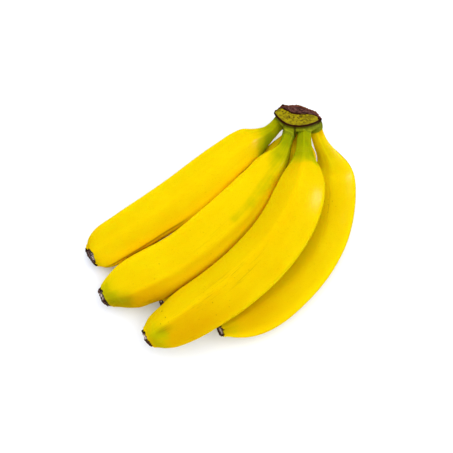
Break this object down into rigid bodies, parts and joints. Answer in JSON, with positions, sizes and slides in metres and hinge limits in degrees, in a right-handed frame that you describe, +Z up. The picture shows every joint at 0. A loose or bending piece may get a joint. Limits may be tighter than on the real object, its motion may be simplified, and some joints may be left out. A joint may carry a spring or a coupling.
{
  "type": "bunch of bananas",
  "caption": "Bunch of ripe bananas on one cut crown, lying on a flat surface: curved five-ridged fruits with short stalks and blunt dried tips.",
  "frame": {"origin": "on the surface the bunch lies on, under the middle of its box", "axes": "+Z up from the surface, +X across the fan of fruits from the left fruit to the right one, +Y from the dried tips towards the crown"},
  "size_m": [0.2016, 0.1884, 0.0924],
  "materials": {
    "peel": "smooth waxy yellow peel, green at the stalk, satin",
    "crown": "cut stem tissue, olive and dried dark brown, matt"
  },
  "bodies": {
    "root": {"banana_left": "peel", "banana_upper": "peel", "banana_top": "peel", "banana_right": "peel", "banana_under": "peel", "crown": "crown"}
  },
  "joints": []
}
